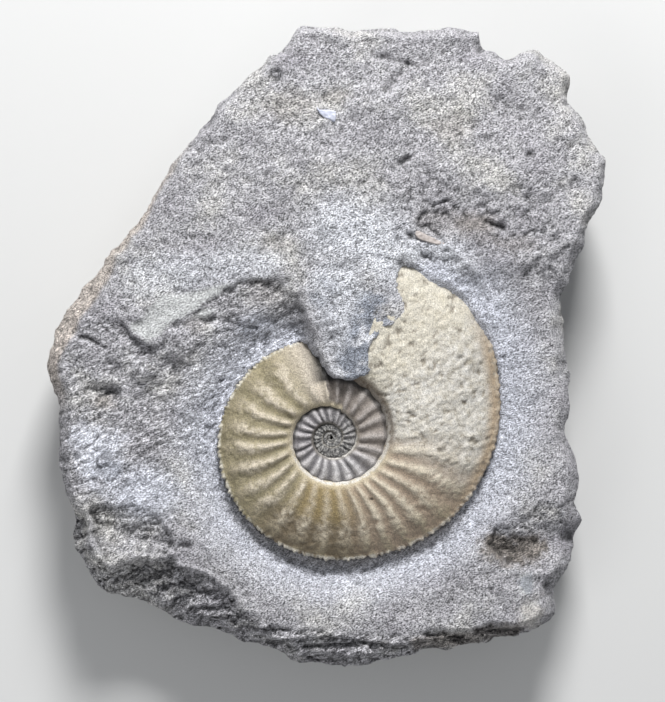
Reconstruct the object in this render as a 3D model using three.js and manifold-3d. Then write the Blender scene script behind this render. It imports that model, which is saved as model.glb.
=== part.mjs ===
// An ammonite in its limestone matrix: a rough broken slab, the coiled shell that lies half bedded in
// its upper face, and two scraps of other shells that the break has laid open.
// Millimetres, +Z up. The slab lies on its flat back and the fossil faces up. +Y is the slab's long way,
// and the origin is under the middle of its outline, on the surface that it rests on.
import * as THREE from "three";
import { mergeVertices } from "three/addons/utils/BufferGeometryUtils.js";
import Module from "manifold-3d";

const wasm = await Module();
wasm.setup();

const TURN = 360;
const degrees = THREE.MathUtils.degToRad;
const ease = THREE.MathUtils.smoothstep;
const lerp = THREE.MathUtils.lerp;

// ---------------------------------------------------------------- driving dimensions
const COIL_CENTRE = new THREE.Vector2(1.5, -28.6);
const COIL_PLANE = 36; // height of the shell's plane of symmetry above the slab's back
const SEAT_GAP = 0.3; // clearance between the shell and the rock that holds it

const WHORL_GROWTH = 2.2; // how much larger each whorl is than the one inside it
const RIBS_A_TURN = 26;
const RIB_HEIGHT = 0.35;
const FIRST_ANGLE = -620; // the coil's start, degrees round, counted from the +X side of the last whorl
const FADING_ANGLE = 345; // from here on the ribs are worn away
const LAST_ANGLE = 430; // where the body chamber ends, under the rock
const PROTOCONCH = { radius: 4.8, halfThickness: 0.9 }; // the first chambers, as one flat button

// The last whorl, about the coil's centre: [angle, keel radius, umbilical seam radius, half thickness].
const LAST_WHORL = [
  [70, 30.8, 9, 4.6],
  [100, 32, 10, 5.1],
  [150, 34.4, 11.3, 5.8],
  [180, 36.2, 11.7, 6.1],
  [210, 37, 12.2, 6.3],
  [240, 37.9, 12.8, 6.6],
  [270, 39, 13.6, 6.9],
  [300, 41.9, 14.7, 7.4],
  [330, 47.4, 16, 8.1],
  [360, 53.4, 17.4, 8.7],
  [390, 60, 18.2, 9],
  [430, 66.5, 19, 9.2],
];

// One flank of a whorl's section: [share of the way from seam to keel, share of the half thickness].
const FLANK = [
  [0, 0.3],
  [0.05, 0.85],
  [0.22, 1],
  [0.45, 0.95],
  [0.7, 0.7],
  [0.9, 0.34],
];

// The slab's outline, counter-clockwise from the right: [x, y, width of the broken edge inside it].
const OUTLINE = [
  [76.8, 2, 4], [76.2, 9, 4], [75.2, 16, 5], [78.5, 22, 5], [82, 30, 5], [82.5, 38, 4], [88, 47, 4],
  [89.5, 56, 3], [88, 62, 3], [82.5, 70.5, 4], [82, 74, 4], [77.4, 79, 4], [78.5, 85, 5], [74, 91, 5],
  [69.5, 93, 4], [66, 95.5, 4], [61.5, 94, 4], [57.5, 92, 4], [50.2, 95.6, 4], [49, 101, 3],
  [39, 102.6, 3], [30, 101, 3], [17, 102, 3], [8, 101.3, 3], [-7, 102.6, 3], [-11.5, 98, 3],
  [-22, 88.5, 3], [-32, 80, 3], [-40, 70.5, 4], [-48, 60, 3], [-55.5, 47.5, 3], [-63, 38, 3],
  [-69.2, 31, 3], [-77, 19.5, 4], [-83.5, 12.5, 5], [-88, 0, 5], [-89.5, -8, 4], [-86, -18, 4],
  [-85.5, -26, 4], [-86, -34, 4], [-84, -46, 4], [-81.5, -54, 4], [-81.5, -63, 6], [-77, -70, 9],
  [-72.5, -78, 14], [-65, -81, 16], [-58, -83.5, 18], [-50, -87.5, 19], [-40, -90.5, 18],
  [-30, -93.5, 16], [-20, -96, 14], [-9, -101, 15], [2, -101.8, 15], [12, -102.6, 14],
  [21, -99.8, 12], [33, -97.7, 10], [46, -95.2, 9], [59, -93, 8], [69, -89, 7], [73.8, -84, 6],
  [73.3, -78, 6], [78.5, -70, 6], [79.8, -62.5, 6], [83.5, -56, 5], [80, -49.5, 5], [81.5, -40, 5],
  [78, -30, 4], [77.2, -22, 4], [78.8, -15, 4], [77.4, -6, 4],
];
const EDGE_STEEPNESS = 1.25; // drop of the broken edge for each mm of its width
const LOWEST_RIM = 9; // the outline's height where the broken edge is widest
const FACE_CELL = 4.6; // size of the flat facets that make up the face
const WAIST_INSET = 3; // the slab's sides narrow a little on the way down
const BACK_INSET = 9;

// The upper, unprepared part of the face. Its lower edge is the ledge above the shell and the tongue of
// rock that still covers the opening of the shell.
const PLATEAU = [
  [-130, 30], [-80, 15.5], [-74, 13.5], [-66, 9], [-58, 2], [-53, 2.5], [-49.5, 7.5], [-43.5, 11],
  [-37, 15.5], [-30, 20], [-22, 22.5], [-14, 23], [-10.5, 19], [-8, 13], [-5, 5], [-3, 0],
  [-1.5, -6], [1.5, -9], [8, -10.5], [13.5, -12], [13.5, -1], [16, 5.5], [23, 8], [26.5, 10.5],
  [25, 16], [22.5, 22.5], [27.5, 26], [34, 26.5], [41, 24.5], [47, 26], [55, 32], [66, 37],
  [130, 35], [130, 150], [-130, 150],
];
const PLATEAU_HEIGHT = 10.5; // above the coil's plane
const LEDGE_WIDTH = 2.6; // how far the foot of the ledge stands out from its crest

// Where the cleaned face rises away from the shell: on the right and, side -1, below the ledge on the left.
const RISES = [
  { side: 1, across: [10, 30], up: [6, 38], pastKeel: [3, 18], height: 8.5 },
  { side: -1, across: [0, 20], up: [-60, 0], pastKeel: [2, 26], height: 5.5 },
];

// Rounded hollows that broke out of the face: [x, y, half width, half height, depth].
const HOLLOWS = [
  [67, -60, 15, 9, 6],
  [-63, -59, 14, 9, 5],
  [-81, -57, 6, 6, 5],
  [43, 40, 15, 7, 2.5],
];

// ---------------------------------------------------------------- helpers
// A closed mesh from a list of points and a list of triangles.
function meshGeometry(points, triangles) {
  const geometry = new THREE.BufferGeometry();
  geometry.setAttribute("position", new THREE.Float32BufferAttribute(points.flat(), 3));
  geometry.setIndex(triangles.flat());
  return geometry;
}

function toSolid(source) {
  const geometry = source.clone();
  geometry.deleteAttribute("normal");
  geometry.deleteAttribute("uv");
  const merged = mergeVertices(geometry, 1e-4);
  return new wasm.Manifold(
    new wasm.Mesh({
      numProp: 3,
      vertProperties: new Float32Array(merged.attributes.position.array),
      triVerts: new Uint32Array(merged.index.array),
    }),
  );
}

// The main body of a solid, without the specks that joining and cutting can leave.
function mainBody(solid) {
  return solid.decompose().sort((a, b) => b.volume() - a.volume())[0];
}

function toGeometry(solid) {
  const mesh = solid.getMesh();
  const geometry = new THREE.BufferGeometry();
  geometry.setAttribute("position", new THREE.BufferAttribute(mesh.vertProperties, 3));
  geometry.setIndex(new THREE.BufferAttribute(mesh.triVerts, 1));
  return geometry;
}

// Loops of points joined one to the next, with the first and the last loop closed by a point.
function skin(loops, firstPoint, lastPoint) {
  const count = loops[0].length;
  const points = [firstPoint, ...loops.flat(), lastPoint];
  const at = (ring, column) => 1 + ring * count + (column % count);
  const triangles = [];
  for (let c = 0; c < count; c++) {
    triangles.push([0, at(0, c), at(0, c + 1)]);
    for (let r = 0; r + 1 < loops.length; r++) {
      triangles.push([at(r, c), at(r + 1, c), at(r + 1, c + 1)]);
      triangles.push([at(r, c), at(r + 1, c + 1), at(r, c + 1)]);
    }
    triangles.push([points.length - 1, at(loops.length - 1, c + 1), at(loops.length - 1, c)]);
  }
  return meshGeometry(points, triangles);
}

// A value read from rows of [angle, value, value...], straight between rows.
function readTable(rows, angle, column) {
  const next = rows.findIndex((row) => row[0] >= angle);
  if (next <= 0) return rows[0][column];
  const [before, after] = [rows[next - 1], rows[next]];
  return lerp(before[column], after[column], (angle - before[0]) / (after[0] - before[0]));
}

// Signed distance from a point to a closed polygon, positive inside.
function insideBy(polygon, x, y) {
  let nearest = Infinity;
  let inside = false;
  polygon.forEach(([ax, ay], i) => {
    const [bx, by] = polygon[(i + 1) % polygon.length];
    const [dx, dy] = [bx - ax, by - ay];
    const share = THREE.MathUtils.clamp(((x - ax) * dx + (y - ay) * dy) / (dx * dx + dy * dy), 0, 1);
    nearest = Math.min(nearest, Math.hypot(x - ax - dx * share, y - ay - dy * share));
    if (ay > y !== by > y && x < ax + (dx * (y - ay)) / dy) inside = !inside;
  });
  return inside ? nearest : -nearest;
}

// ---------------------------------------------------------------- the shell
// One column of the last whorl's table at any angle: inner whorls are the last one made smaller.
function whorlSize(angle, column) {
  const turnsIn = Math.max(0, Math.ceil((LAST_WHORL[0][0] - angle) / TURN));
  return readTable(LAST_WHORL, angle + TURN * turnsIn, column) / WHORL_GROWTH ** turnsIn;
}

// The closed section of the whorl at an angle, grown all round by a clearance.
function whorlSection(angle, clearance) {
  const keel = whorlSize(angle, 1);
  const seam = whorlSize(angle, 2);
  const halfThickness = whorlSize(angle, 3);
  const worn = 1 - ease(angle, FADING_ANGLE - 30, FADING_ANGLE);
  const size = keel / LAST_WHORL.at(-1)[1];
  const rib = RIB_HEIGHT * Math.sqrt(size) * worn * Math.cos(degrees(angle * RIBS_A_TURN));
  const direction = new THREE.Vector2(1, 0).rotateAround(new THREE.Vector2(), degrees(angle));
  const place = ([across, up], side) => {
    const outwards = across === 0 ? -clearance : across * clearance;
    const reach = seam + across * (keel - seam) + outwards;
    const lift = up * halfThickness + (across > 0 ? rib * (1 - across) : 0) + clearance;
    return [
      COIL_CENTRE.x + direction.x * reach,
      COIL_CENTRE.y + direction.y * reach,
      COIL_PLANE + side * lift,
    ];
  };
  const keelPoint = [
    COIL_CENTRE.x + direction.x * (keel + clearance),
    COIL_CENTRE.y + direction.y * (keel + clearance),
    COIL_PLANE,
  ];
  return [
    ...FLANK.map((point) => place(point, -1)),
    keelPoint,
    ...FLANK.map((point) => place(point, 1)).reverse(),
  ];
}

function centreOf(loop) {
  return [0, 1, 2].map((k) => loop.reduce((sum, point) => sum + point[k], 0) / loop.length);
}

// The whole coil: half turns, each a plain closed tube, joined into one solid round the first chambers.
function coilSolid(clearance) {
  const [radius, halfThickness] = [PROTOCONCH.radius + clearance, PROTOCONCH.halfThickness + clearance];
  const button = new THREE.SphereGeometry(1, 12, 6).rotateX(Math.PI / 2);
  let coil = toSolid(button.scale(radius, radius, halfThickness).translate(...COIL_CENTRE, COIL_PLANE));

  const step = TURN / RIBS_A_TURN / 2;
  const steps = Math.ceil((LAST_ANGLE - FIRST_ANGLE) / step);
  const section = (i) => whorlSection(Math.min(FIRST_ANGLE + i * step, LAST_ANGLE), clearance);
  for (let start = 0; start < steps; start += RIBS_A_TURN) {
    const end = Math.min(start + RIBS_A_TURN, steps);
    const loops = Array.from({ length: end - start + 1 }, (_, i) => section(start + i));
    coil = coil.add(toSolid(skin(loops, centreOf(loops[0]), centreOf(loops.at(-1)))));
  }
  return mainBody(coil);
}

// ---------------------------------------------------------------- the slab
function hollowDepth(x, y) {
  return HOLLOWS.reduce((sum, [hx, hy, halfWidth, halfHeight, depth]) => {
    const reach = Math.hypot((x - hx) / halfWidth, (y - hy) / halfHeight);
    return sum + depth * (1 - ease(reach, 0.35, 1));
  }, 0);
}

// Height above the coil's plane of the cleaned face round the shell, which dips to a trench at its keel.
function apronRelief(x, y) {
  const angle = Math.atan2(y - COIL_CENTRE.y, x - COIL_CENTRE.x);
  const first = LAST_ANGLE - TURN;
  const turned = THREE.MathUtils.euclideanModulo(THREE.MathUtils.radToDeg(angle) - first, TURN) + first;
  const pastKeel = Math.hypot(x - COIL_CENTRE.x, y - COIL_CENTRE.y) - whorlSize(turned, 1);
  const trench = -1.9 + 1.6 * Math.sin(angle);
  const riseOf = (slope) =>
    slope.height * ease(x * slope.side, ...slope.across) * ease(y, ...slope.up) *
    ease(pastKeel, ...slope.pastKeel);
  const rise = RISES.reduce((sum, slope) => sum + riseOf(slope), 0);
  const cleaned = lerp(trench, 0.8, ease(pastKeel, 0, 14)) + rise - hollowDepth(x, y);
  return Math.min(cleaned, plateauRelief(x, y) - 0.6);
}

// Height above the coil's plane of the rough upper face, which falls away a little to the top and right.
function plateauRelief(x, y) {
  return PLATEAU_HEIGHT - 0.02 * Math.max(0, y - 20) - 0.04 * Math.max(0, x - 20) - hollowDepth(x, y);
}

function faceRelief(x, y) {
  return insideBy(PLATEAU, x, y) > 0 ? plateauRelief(x, y) : apronRelief(x, y);
}

// A block with one of the reliefs as its top, wider all round than the slab itself.
function reliefBlock(relief) {
  const [width, length] = [190, 214];
  const cells = [width, length].map((size) => Math.round(size / FACE_CELL));
  const block = new THREE.BoxGeometry(width, length, 1, ...cells, 1);
  const corners = block.attributes.position;
  for (let i = 0; i < corners.count; i++) {
    const top = COIL_PLANE + relief(corners.getX(i), corners.getY(i));
    corners.setZ(i, corners.getZ(i) > 0 ? top : -5);
  }
  return block;
}

// The plateau's outline as a block with sloping sides, from below the trench to above the plateau.
function plateauPrism() {
  const slope = PLATEAU_HEIGHT + 4;
  const shape = new THREE.Shape(PLATEAU.map(([x, y]) => new THREE.Vector2(x, y)));
  const settings = {
    depth: COIL_PLANE,
    bevelThickness: slope,
    bevelSize: LEDGE_WIDTH,
    bevelSegments: 1,
  };
  return new THREE.ExtrudeGeometry(shape, settings).translate(0, 0, -3);
}

// The slab's broken sides as one closed tub, from its back up past its face. The outline is its widest
// ring, and above it the broken edge leans in.
function tubGeometry() {
  const along = ([x, y], reach) => {
    const out = new THREE.Vector2(x, y).sub(COIL_CENTRE);
    return out.setLength(out.length() - reach).add(COIL_CENTRE);
  };
  const ring = (inset, height) =>
    OUTLINE.map((point, i) => {
      const edge = along(point, point[2]);
      const crest = COIL_PLANE + faceRelief(edge.x, edge.y);
      const rim = Math.max(LOWEST_RIM, crest - point[2] * EDGE_STEEPNESS);
      const p = along(point, inset(point, i));
      return [p.x, p.y, height(rim, crest)];
    });
  const ragged = (i) => 1 + 0.3 * Math.sin(i * 1.7);
  const loops = [
    ring((point, i) => BACK_INSET * ragged(i), () => 0),
    ring((point, i) => WAIST_INSET * ragged(i), (rim) => rim * 0.35),
    ring(() => 0, (rim) => rim),
    ring((point) => point[2] * 0.4, (rim, crest) => lerp(rim, crest, 0.55)),
    ring((point) => point[2] * 1.4, (rim, crest) => lerp(rim, crest, 1.25)),
    ring((point) => point[2] * 1.4, () => COIL_PLANE + PLATEAU_HEIGHT + 20),
  ].reverse();
  return skin(loops, [...COIL_CENTRE, COIL_PLANE + PLATEAU_HEIGHT + 20], [...COIL_CENTRE, 0]);
}

// ---------------------------------------------------------------- scraps of other shells
// A thin flake with a straight-sided outline, laid flat at a height.
function flakeGeometry(corners, thickness, height, grow) {
  const middle = centreOf(corners.map(([x, y]) => [x, y, 0]));
  const points = corners.map(([x, y]) => {
    const out = new THREE.Vector2(x - middle[0], y - middle[1]);
    return out.setLength(out.length() + grow).add(new THREE.Vector2(middle[0], middle[1]));
  });
  const settings = { depth: thickness + 2 * grow, bevelEnabled: false };
  return new THREE.ExtrudeGeometry(new THREE.Shape(points), settings).translate(0, 0, height - grow);
}

const CHIP = {
  corners: [[-2, 75.4], [-1.4, 73.2], [1.2, 72], [3, 72.2], [2.9, 74.8], [-0.2, 75.9]],
  thickness: 1.6,
};
const SLIVER = {
  corners: [[28.2, 37.4], [28.6, 34.6], [31.5, 33.2], [36.4, 32.4], [38.4, 33], [34, 36.4], [31, 38]],
  thickness: 1.8,
};
for (const scrap of [CHIP, SLIVER]) {
  const [x, y] = centreOf(scrap.corners.map(([cx, cy]) => [cx, cy, 0]));
  scrap.height = COIL_PLANE + faceRelief(x, y) - scrap.thickness + 0.5;
}

// ---------------------------------------------------------------- the assembly
const limestone = new THREE.MeshStandardMaterial({ color: 0xa6a5a6, roughness: 0.95, metalness: 0 });
const calcite = new THREE.MeshStandardMaterial({ color: 0xa8986f, roughness: 0.5, metalness: 0 });
const whiteShell = new THREE.MeshStandardMaterial({ color: 0xdadbe6, roughness: 0.6, metalness: 0 });
const paleShell = new THREE.MeshStandardMaterial({ color: 0xb7a592, roughness: 0.6, metalness: 0 });

const plateau = toSolid(reliefBlock(plateauRelief)).intersect(toSolid(plateauPrism()));
const face = toSolid(reliefBlock(apronRelief)).add(plateau);
let rock = toSolid(tubGeometry()).intersect(face).subtract(coilSolid(SEAT_GAP));
for (const { corners, thickness, height } of [CHIP, SLIVER]) {
  rock = rock.subtract(toSolid(flakeGeometry(corners, thickness + 3, height, SEAT_GAP)));
}

const pieces = [
  ["matrix", toGeometry(mainBody(rock)), limestone],
  ["ammonite", toGeometry(coilSolid(0)), calcite],
  ["shell_chip", flakeGeometry(CHIP.corners, CHIP.thickness, CHIP.height, 0), whiteShell],
  ["shell_sliver", flakeGeometry(SLIVER.corners, SLIVER.thickness, SLIVER.height, 0), paleShell],
];

const fossil = new THREE.Group();
for (const [name, geometry, material] of pieces) {
  const mesh = new THREE.Mesh(geometry, material);
  mesh.name = name;
  fossil.add(mesh);
}

// The origin is under the middle of the outline.
const middle = new THREE.Box3().setFromObject(fossil).getCenter(new THREE.Vector3());
fossil.position.set(-middle.x, -middle.y, 0);

export default fossil;
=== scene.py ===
# %% [markdown]
# # An ammonite in its matrix
# A slab of grey limestone was split open and part of its face was cleaned down to the shell inside it.
# The frame brings in the construction: the slab, the shell and two scraps of other shells, at real size
# and in place. Here each of them gets its true surface. The slab and the shell are made again as fine
# meshes in the same place, because broken rock and worn ribs can't be shown by a few thousand facets.

# %% Setup
import math
import bpy
import numpy as np
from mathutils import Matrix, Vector, noise


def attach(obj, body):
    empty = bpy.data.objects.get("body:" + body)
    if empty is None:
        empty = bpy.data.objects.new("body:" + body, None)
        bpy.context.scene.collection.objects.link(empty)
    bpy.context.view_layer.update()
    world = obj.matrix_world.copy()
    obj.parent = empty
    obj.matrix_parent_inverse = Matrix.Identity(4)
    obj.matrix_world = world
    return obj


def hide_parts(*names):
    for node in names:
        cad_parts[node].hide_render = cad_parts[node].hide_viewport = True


noise.seed_set(4)  # so that the chips of the rock come out the same each time
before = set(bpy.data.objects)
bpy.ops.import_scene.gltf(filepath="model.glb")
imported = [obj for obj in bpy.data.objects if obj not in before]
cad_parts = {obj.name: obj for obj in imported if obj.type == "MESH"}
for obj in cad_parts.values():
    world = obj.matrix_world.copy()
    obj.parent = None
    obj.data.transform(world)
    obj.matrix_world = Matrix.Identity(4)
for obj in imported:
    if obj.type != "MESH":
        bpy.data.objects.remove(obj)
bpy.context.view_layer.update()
MM = 0.001  # every size below is in millimetres, and a mesh is in metres
COIL_CENTRE = (1.5, -28.6)
COIL_PLANE = 36.0  # height of the shell's plane of symmetry above the floor

# %% [markdown]
# ## Camera, floor and light
# The specimen lies on its back, so the camera hangs above it and looks straight down. A long lens at
# about a metre keeps the far and the near parts of the slab at one scale. The light is one large soft
# box beyond the top of the slab, low enough for the ledges and ribs to throw soft shadows down the face,
# with a weak fill from the other side and a pale room all round.

# %% Camera
LENS = 135.0
VIEW_HEIGHT = 224.6  # what the camera sees at the height of the coil, from top to bottom
VIEW_MIDDLE = (2.1, -0.8)

scene = bpy.context.scene
scene.view_settings.view_transform = "Standard"
camera_data = bpy.data.cameras.new("camera")
camera_data.lens = LENS
camera_data.clip_start = 0.01
camera = bpy.data.objects.new("camera", camera_data)
distance = LENS / camera_data.sensor_width * VIEW_HEIGHT
camera.location = Vector((*VIEW_MIDDLE, COIL_PLANE + distance)) * MM
scene.collection.objects.link(camera)
scene.camera = camera
print("camera", round(distance), "mm above the coil")


# %% Floor and lights
def deselect():
    bpy.ops.object.select_all(action="DESELECT")


def soft_box(name, place, size, power):
    """A square lamp at a place in millimetres that faces the middle of the slab."""
    light = bpy.data.lights.new(name, "AREA")
    light.size = size * MM
    light.energy = power
    lamp = bpy.data.objects.new(name, light)
    lamp.location = Vector(place) * MM
    to_slab = Vector((0, 0, COIL_PLANE)) * MM - lamp.location
    lamp.rotation_euler = to_slab.to_track_quat("-Z", "Y").to_euler()
    scene.collection.objects.link(lamp)


soft_box("key", (90, 760, 640), 280, 17)
soft_box("fill", (-500, -500, 700), 600, 2.5)

deselect()
bpy.ops.mesh.primitive_plane_add(size=6, location=(0, 0, 0))
floor = bpy.context.object
floor.name = "floor"
floor_paint = bpy.data.materials.new("matt_white_board")
floor_paint.use_nodes = True
floor_shader = floor_paint.node_tree.nodes["Principled BSDF"]
floor_shader.inputs["Base Color"].default_value = (0.5, 0.5, 0.495, 1)
floor_shader.inputs["Roughness"].default_value = 0.9
floor.data.materials.append(floor_paint)

world = bpy.data.worlds.new("studio")
world.use_nodes = True
room = world.node_tree.nodes["Background"]
room.inputs["Color"].default_value = (0.93, 0.96, 1.0, 1)
room.inputs["Strength"].default_value = 0.38
scene.world = world

# %% [markdown]
# ## Small tools
# Shapes are worked on as arrays of points in millimetres. Short helpers read a mesh's points, write them
# back, choose faces for the edit-mode operators, make a block from an outline, apply a modifier and keep
# a number for each point. The others are for the sums that shape the rock: soft steps, distances from
# lines and outlines, and three kinds of seeded noise.

# %% Mesh helpers
def make_active(obj):
    deselect()
    obj.select_set(True)
    bpy.context.view_layer.objects.active = obj


def points_of(obj):
    flat = np.empty(len(obj.data.vertices) * 3, np.float32)
    obj.data.vertices.foreach_get("co", flat)
    return flat.reshape(-1, 3).astype(float) / MM


def move_points(obj, points):
    obj.data.vertices.foreach_set("co", (points * MM).astype(np.float32).ravel())
    obj.data.update()


def select_faces(obj, wanted):
    """Enters edit mode with just these faces selected."""
    make_active(obj)
    bpy.ops.object.mode_set(mode="EDIT")
    bpy.ops.mesh.select_mode(type="FACE")
    bpy.ops.mesh.select_all(action="DESELECT")
    bpy.ops.object.mode_set(mode="OBJECT")
    obj.data.polygons.foreach_set("select", wanted)
    bpy.ops.object.mode_set(mode="EDIT")


def block_from(name, outline, base, height):
    """A block on an outline: a circle's points are laid on it, and the face is extruded upwards."""
    deselect()
    bpy.ops.mesh.primitive_circle_add(vertices=len(outline), radius=0.1, fill_type="NGON")
    block = bpy.context.object
    block.name = name
    move_points(block, np.column_stack([outline, np.full(len(outline), base)]))
    bpy.ops.object.mode_set(mode="EDIT")
    bpy.ops.mesh.select_all(action="SELECT")
    bpy.ops.mesh.extrude_region_move(TRANSFORM_OT_translate={"value": (0, 0, height * MM)})
    bpy.ops.mesh.select_all(action="SELECT")
    bpy.ops.mesh.normals_make_consistent(inside=False)
    bpy.ops.object.mode_set(mode="OBJECT")
    return block


def apply_modifier(obj, kind, **settings):
    make_active(obj)
    modifier = obj.modifiers.new(kind.lower(), kind)
    for name, value in settings.items():
        setattr(modifier, name, value)
    bpy.ops.object.modifier_apply(modifier=modifier.name)


def set_values(obj, name, values):
    """Keeps one number for each point of the mesh, for a material to read."""
    layer = obj.data.attributes.new(name, "FLOAT", "POINT")
    layer.data.foreach_set("value", np.asarray(values, np.float32))


def triangles_in(obj):
    return sum(len(f.vertices) - 2 for f in obj.data.polygons)


print("mesh helpers ready")


# %% Shape helpers
def ease(value, start, end):
    """0 up to start and 1 from end on, with a soft step between."""
    share = np.clip((value - start) / (end - start), 0, 1)
    return share * share * (3 - 2 * share)


def mix(a, b, share):
    return a + (b - a) * share


def line_distance(points, x, y):
    """How far each place is from a line through the points."""
    nearest = np.full(np.shape(x), np.inf)
    for (ax, ay), (bx, by) in zip(points[:-1], points[1:]):
        dx, dy = bx - ax, by - ay
        share = np.clip(((x - ax) * dx + (y - ay) * dy) / (dx * dx + dy * dy), 0, 1)
        nearest = np.minimum(nearest, np.hypot(x - ax - dx * share, y - ay - dy * share))
    return nearest


def inside_by(polygon, x, y):
    """How far inside a closed outline each place is, negative outside it."""
    closed = list(polygon) + [polygon[0]]
    inside = np.zeros(np.shape(x), bool)
    for (ax, ay), (bx, by) in zip(closed[:-1], closed[1:]):
        if ay != by:
            crosses = (ay > y) != (by > y)
            inside ^= crosses & (x < ax + (bx - ax) * (y - ay) / (by - ay))
    return np.where(inside, 1, -1) * line_distance(closed, x, y)


def even_steps(points, step):
    """A closed outline with points at even steps."""
    closed = np.array(list(points) + [points[0]], float)
    lengths = np.hypot(*np.diff(closed, axis=0).T)
    along = np.concatenate([[0], np.cumsum(lengths)])
    count = int(along[-1] / step)
    at = np.arange(count) * along[-1] / count
    return np.stack([np.interp(at, along, closed[:, k]) for k in (0, 1)], axis=1)


def fractal(x, y, z, size, octaves, seed):
    """Soft broken noise, about -1 to 1, whose largest lumps measure size."""
    scaled = np.stack([x, y, z * np.ones_like(x)], axis=1) / size + seed * 7.31
    return np.array([noise.fractal(p, 0.9, 2.1, octaves) for p in scaled.tolist()])


def chipped(x, y, size, seed):
    """Flat chips about size across, each at its own level, about -1 to 1."""
    scaled = np.stack([x, y, np.full_like(x, seed * 3.7)], axis=1) / size
    levels = []
    for p in scaled.tolist():
        towards = noise.voronoi(p)[1][0]
        tilt = noise.noise_vector(towards * 3.3)
        levels.append(tilt.x * (p[0] - towards.x) + tilt.y * (p[1] - towards.y) + 0.35 * tilt.z)
    return np.array(levels)


def shingles(x, y, size, seed):
    """Overlapping flakes like roof slates, -0.5 to 0.5: a gentle tread towards +y and a sharp foot."""
    rise = y / size + 1.5 * fractal(x / 2, y, 0, size * 1.8, 4, seed)
    patchy = ease(fractal(x / 1.5, y, 0, size * 3, 3, seed + 1), -0.3, 0.3)
    return (0.5 - np.mod(rise, 1)) * patchy


print("shape helpers ready")

# %% [markdown]
# ## The slab: its blank
# Broken rock has no drawing, only an outline. The outline is given as points every few
# millimetres, and a circle's points are laid on it. That face is extruded to a block, and a voxel
# remesh turns the block into even small squares, which is what sculpting needs. The face that will carry the
# relief is divided once more; the sides and the back stay coarser.

# %% Slab outline
OUTLINE = [
    (-10.8, 99.6), (-8.7, 102.4), (0, 102.6), (4.1, 102.3), (8.4, 101), (12.7, 101.7), (18.4, 101.8),
    (26.2, 101), (34.7, 101.4), (39, 102.6), (44.7, 101.7), (49.1, 100.9), (49.5, 96), (53.9, 93.9),
    (57.5, 92.1), (60.3, 92.8), (62.5, 95), (66.7, 95.5), (69.6, 92.8), (73.1, 91.4), (77.8, 87.8),
    (78.7, 85), (77.4, 82.5), (77.4, 78.2), (81.3, 74.7), (82.7, 72.2), (82.7, 69.7), (86.6, 64),
    (89.3, 59.8), (89.3, 54.8), (88.1, 49.8), (87.7, 45.9), (84.5, 40.9), (82.7, 37), (82.2, 32.7),
    (80.2, 28.1), (78.4, 23.9), (78.1, 20.7), (75.3, 17.1), (75.6, 11.4), (76.5, 6.4), (76.8, 2.7),
    (77.4, -1.8), (76.8, -4.8), (78.1, -10), (78.1, -13.7), (78.6, -18.9), (76.8, -24.9), (77.2, -28.6),
    (79.8, -34.5), (81.5, -39), (80.9, -45), (80.1, -49.4), (81.6, -52.8), (83.5, -55.4), (81.3, -58.7),
    (79, -60.6), (79.6, -63.2), (79.4, -68), (77.5, -71.7), (73.4, -77.3), (73.8, -82.9), (73.1, -85.9),
    (69.7, -89.6), (65.6, -91.4), (60.4, -93.3), (54.5, -93.7), (50, -95.2), (43.3, -95.4), (39.6, -96.7),
    (32.1, -97), (26.2, -98.1), (18.7, -100.4), (13.2, -102.4), (4.6, -102.4), (0, -101.8), (-9.1, -101.3),
    (-12.1, -99.3), (-16.9, -96.7), (-24.7, -95.2), (-30, -93.3), (-35.9, -91), (-43.3, -90), (-50, -87.3),
    (-54.1, -85.1), (-61.2, -81.4), (-66, -80.6), (-70.1, -79.5), (-73.5, -76.9), (-77.6, -69.5),
    (-81.3, -64.7), (-81.9, -60.6), (-80.9, -55.4), (-81.3, -50.9), (-83.9, -46.4), (-85, -39),
    (-85.8, -33), (-85.4, -20.4), (-86.5, -14.8), (-89.1, -9.6), (-89.9, -5.5), (-89.1, -2.2), (-88.4, 0),
    (-86.2, 6.4), (-83.7, 12.8), (-79.8, 16.4), (-78, 19.1), (-76.6, 19.6), (-73.4, 23.8), (-70.2, 28.1),
    (-68.9, 29.9), (-69.1, 31.5), (-66.6, 32.2), (-62.7, 37.7), (-60.2, 39.9), (-57, 44.8), (-53.8, 50),
    (-52, 53.9), (-50, 56.1), (-47.8, 59.8), (-44.9, 63), (-41.7, 66.9), (-39.9, 70.3), (-37.1, 72.9),
    (-35.3, 76.1), (-32.1, 79), (-28.5, 82.9), (-24.3, 86.6), (-20, 90.1), (-16.5, 93.5), (-13.3, 95.3),
]
OUTLINE_STEP = 1.5
BLANK_HEIGHT = 40.0
VOXEL = 1.34

# %% Slab blank
slab = block_from("limestone_slab", even_steps(OUTLINE, OUTLINE_STEP), 0.0, BLANK_HEIGHT)
apply_modifier(slab, "REMESH", mode="VOXEL", voxel_size=VOXEL * MM)

facing_up = np.array([f.normal.z > 0.7 for f in slab.data.polygons])
select_faces(slab, facing_up)
bpy.ops.mesh.subdivide(number_cuts=1)
bpy.ops.object.mode_set(mode="OBJECT")
print("slab blank:", len(slab.data.vertices), "points,", len(slab.data.polygons), "faces")

# %% [markdown]
# ## The slab: the lie of its face
# The face has two levels. Round the shell the rock was cut away to a smooth apron that dips to a narrow
# trench at the shell's keel. Above it the rough upper face was left, ten millimetres higher, and it ends
# in a ledge and in a tongue that still covers the shell's opening. The whorl's sizes, which the shell
# below uses too, say where the keel is.

# %% Whorl sizes
FIRST_ANGLE = -1340  # degrees round the coil, counted from +X in the last whorl: where the shell starts
LAST_ANGLE = 430  # and where it ends
LAST_TURN = LAST_ANGLE - 360  # where the last whorl starts
WHORL_GROWTH = 2.2  # how much larger each whorl is than the one inside it
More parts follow.
